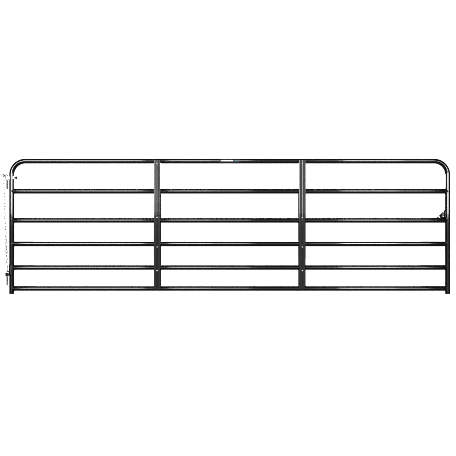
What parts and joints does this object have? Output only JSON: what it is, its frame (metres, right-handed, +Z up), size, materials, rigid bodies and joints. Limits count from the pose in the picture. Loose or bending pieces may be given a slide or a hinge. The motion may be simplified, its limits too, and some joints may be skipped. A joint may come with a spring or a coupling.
{
  "type": "livestock panel gate",
  "caption": "Tubular steel field gate: round rails in a bent tube frame with upright stays, an eye bolt and barrel hinge, screw-in hinge hooks, a latch chain and a keyhole latch plate.",
  "frame": {"origin": "on the ground under the middle of the whole part's box", "axes": "+X along the gate towards the latch end, +Y to the back, +Z up"},
  "size_m": [4.2194, 0.0776, 1.272],
  "materials": {
    "black_coat": "glossy powder coat",
    "zinc": "bright zinc plating",
    "black_nut": "black oxide",
    "label": "printed film"
  },
  "bodies": {
    "gate": {"frame_tube": "black_coat", "rail_2": "black_coat", "rail_3": "black_coat", "rail_4": "black_coat", "rail_5": "black_coat", "bottom_rail": "black_coat", "stay_left": "black_coat", "stay_right": "black_coat", "latch_plate": "black_coat", "lower_hinge_saddle": "black_coat", "lower_hinge_barrel": "black_coat", "label": "label", "saddle_washers": "zinc"},
    "hinge_bolt": {"upper_eye_bolt": "zinc", "hinge_nut": "black_nut"},
    "upper_hook": {"upper_hook": "zinc"},
    "lower_hook": {"lower_hook": "zinc"},
    "chain_1": {"chain_ring": "zinc", "chain_1": "zinc"},
    "chain_2": {"chain_2": "zinc"},
    "chain_3": {"chain_3": "zinc"},
    "chain_4": {"chain_4": "zinc"},
    "chain_5": {"chain_5": "zinc"},
    "chain_6": {"chain_6": "zinc"},
    "chain_7": {"chain_7": "zinc"}
  },
  "joints": [
    {"name": "hinge_bolt_slide", "type": "slide", "parent": "gate", "child": "hinge_bolt", "axis": [-1, 0, 0], "range_m": [0, 0.01]},
    {"name": "upper_hook_swivel", "type": "hinge", "parent": "hinge_bolt", "child": "upper_hook", "pos_m": [-2.06106, -0.00984, 1.092], "axis": [0, 0, 1], "range_deg": [-100, 100]},
    {"name": "lower_hook_swivel", "type": "hinge", "parent": "gate", "child": "lower_hook", "pos_m": [-2.06106, -0.00984, 0.184], "axis": [0, 0, 1], "range_deg": [-10, 190]},
    {"name": "chain_1_swing", "type": "hinge", "parent": "upper_hook", "child": "chain_1", "pos_m": [-2.09106, -0.00984, 1.11857], "axis": [1, 0, 0], "range_deg": [-45, 45]},
    {"name": "chain_2_bend", "type": "hinge", "parent": "chain_1", "child": "chain_2", "pos_m": [-2.09106, -0.00984, 1.00546], "axis": [1, 0, 0], "range_deg": [-30, 30]},
    {"name": "chain_3_bend", "type": "hinge", "parent": "chain_2", "child": "chain_3", "pos_m": [-2.08626, -0.00984, 0.88115], "axis": [1, 0, 0], "range_deg": [-30, 30]},
    {"name": "chain_4_bend", "type": "hinge", "parent": "chain_3", "child": "chain_4", "pos_m": [-2.08146, -0.00984, 0.75685], "axis": [1, 0, 0], "range_deg": [-30, 30]},
    {"name": "chain_5_bend", "type": "hinge", "parent": "chain_4", "child": "chain_5", "pos_m": [-2.07666, -0.00984, 0.63254], "axis": [1, 0, 0], "range_deg": [-30, 30]},
    {"name": "chain_6_bend", "type": "hinge", "parent": "chain_5", "child": "chain_6", "pos_m": [-2.07186, -0.00984, 0.50823], "axis": [1, 0, 0], "range_deg": [-30, 30]},
    {"name": "chain_7_bend", "type": "hinge", "parent": "chain_6", "child": "chain_7", "pos_m": [-2.06706, -0.00984, 0.38393], "axis": [1, 0, 0], "range_deg": [-30, 30]}
  ]
}
